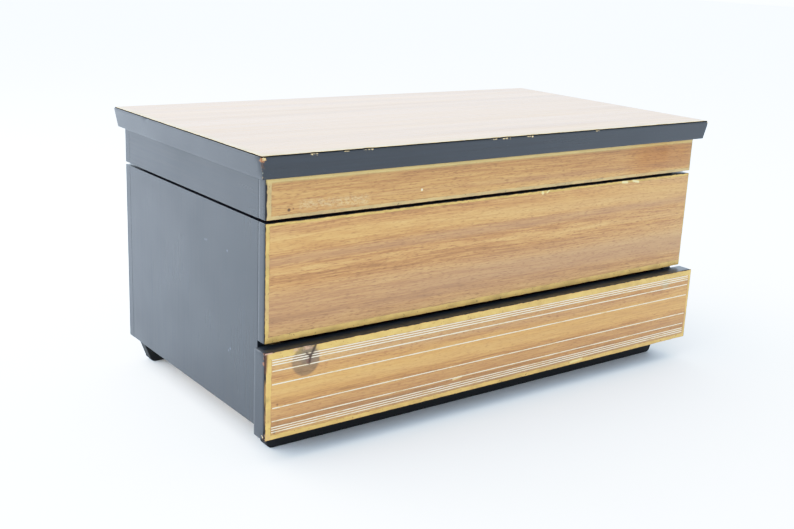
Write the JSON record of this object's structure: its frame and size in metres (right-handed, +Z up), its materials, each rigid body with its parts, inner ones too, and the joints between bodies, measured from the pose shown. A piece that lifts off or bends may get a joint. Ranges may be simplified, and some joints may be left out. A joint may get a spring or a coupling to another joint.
{
  "type": "jewelry box",
  "caption": "Wooden jewelry box with a hinged mirrored lid on a slotted stay, a lined compartment with ring rolls and dividers, and a full-width drawer.",
  "frame": {"origin": "centre of the box's footprint on the surface it stands on", "axes": "+X to the box's right as seen from the front, the front with the drawer faces -Y, +Z up"},
  "size_m": [0.275, 0.1528, 0.1345],
  "materials": {
    "black_lacquer": "semi-gloss black lacquer on wood",
    "wood_grain_facing": "satin wood-grain facing",
    "bare_wood": "bare sanded wood",
    "velvet": "dark red velvet",
    "brass_fittings": "polished, slightly dull",
    "cream_stripe": "cream inlay lines",
    "mirror": "silvered glass"
  },
  "bodies": {
    "carcass": {"side_panel_left": "black_lacquer", "side_panel_right": "black_lacquer", "back_panel": "black_lacquer", "front_board": "black_lacquer", "front_facing": "wood_grain_facing", "compartment_floor": "bare_wood", "bottom_panel": "bare_wood", "foot_bar_front": "black_lacquer", "foot_bar_rear": "black_lacquer", "foot_screws": "brass_fittings", "lining_floor": "velvet", "lining_left": "velvet", "lining_right": "velvet", "lining_front": "velvet", "lining_back": "velvet", "ring_tray_base": "velvet", "ring_roll_1": "velvet", "ring_roll_2": "velvet", "ring_roll_3": "velvet", "ring_roll_4": "velvet", "ring_roll_5": "velvet", "ring_roll_6": "velvet", "ring_roll_7": "velvet", "divider_ring_tray": "velvet", "divider_long": "velvet", "divider_short_front": "velvet", "divider_short_rear": "velvet", "hinge_left_carcass_leaf": "brass_fittings", "hinge_right_carcass_leaf": "brass_fittings", "hinge_left_pin": "brass_fittings", "hinge_right_pin": "brass_fittings", "hinge_screws_carcass": "brass_fittings", "stay_pin": "brass_fittings"},
    "lid": {"lid_board": "black_lacquer", "lid_facing": "wood_grain_facing", "lid_rail_front": "black_lacquer", "lid_rail_back": "black_lacquer", "lid_rail_left": "black_lacquer", "lid_rail_right": "black_lacquer", "lid_front_facing": "wood_grain_facing", "lid_lining": "velvet", "lid_rail_linings": "velvet", "mirror": "mirror", "mirror_frame": "brass_fittings", "hinge_left_lid_leaf": "brass_fittings", "hinge_right_lid_leaf": "brass_fittings", "hinge_screws_lid": "brass_fittings", "stay_pivot_screw": "brass_fittings"},
    "stay": {"stay_arm": "brass_fittings"},
    "drawer": {"drawer_front": "black_lacquer", "drawer_facing": "wood_grain_facing", "drawer_stripes": "cream_stripe", "drawer_side_left": "bare_wood", "drawer_side_right": "bare_wood", "drawer_back": "bare_wood", "drawer_bottom": "bare_wood", "drawer_lining_floor": "velvet", "drawer_lining_walls": "velvet", "drawer_divider_left": "velvet", "drawer_divider_right": "velvet"}
  },
  "joints": [
    {"name": "lid_hinge", "type": "hinge", "parent": "carcass", "child": "lid", "pos_m": [0, 0.0748, 0.1059], "axis": [-1, 0, 0], "range_deg": [0, 95]},
    {"name": "stay_pivot", "type": "hinge", "parent": "lid", "child": "stay", "pos_m": [0.1233, 0.04723, 0.11076], "axis": [1, 0, 0], "range_deg": [0, 47.5]},
    {"name": "drawer_slide", "type": "slide", "parent": "carcass", "child": "drawer", "axis": [0, -1, 0], "range_m": [-0.0034, 0.105]}
  ],
  "couplings": [
    {"joint": "stay_pivot", "follows": "lid_hinge", "ratio": 0.5}
  ]
}
